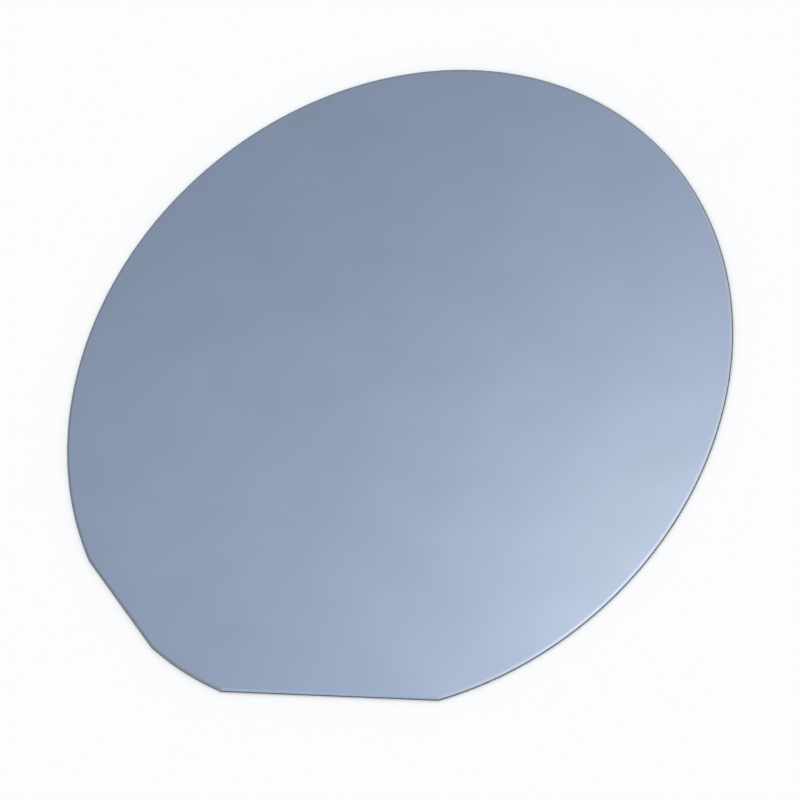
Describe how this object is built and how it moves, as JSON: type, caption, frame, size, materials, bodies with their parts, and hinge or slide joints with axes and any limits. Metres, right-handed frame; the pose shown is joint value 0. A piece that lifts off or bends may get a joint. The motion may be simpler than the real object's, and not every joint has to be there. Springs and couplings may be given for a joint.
{
  "type": "silicon wafer",
  "caption": "Thin round slice of silicon with a mirror-polished front, an etched back, a long and a short orientation flat, and a bevelled, rounded edge.",
  "frame": {"origin": "centre of the round rim, on the back face", "axes": "+Z out of the polished front; the primary flat faces -Y; the secondary flat lies clockwise from it over the front, facing -X and -Y equally"},
  "size_m": [0.1, 0.0973, 0.0005],
  "materials": {
    "silicon": "mirror-polished front, finely ground edge, dull etched grey back"
  },
  "bodies": {
    "root": {"wafer": "silicon"}
  },
  "joints": []
}
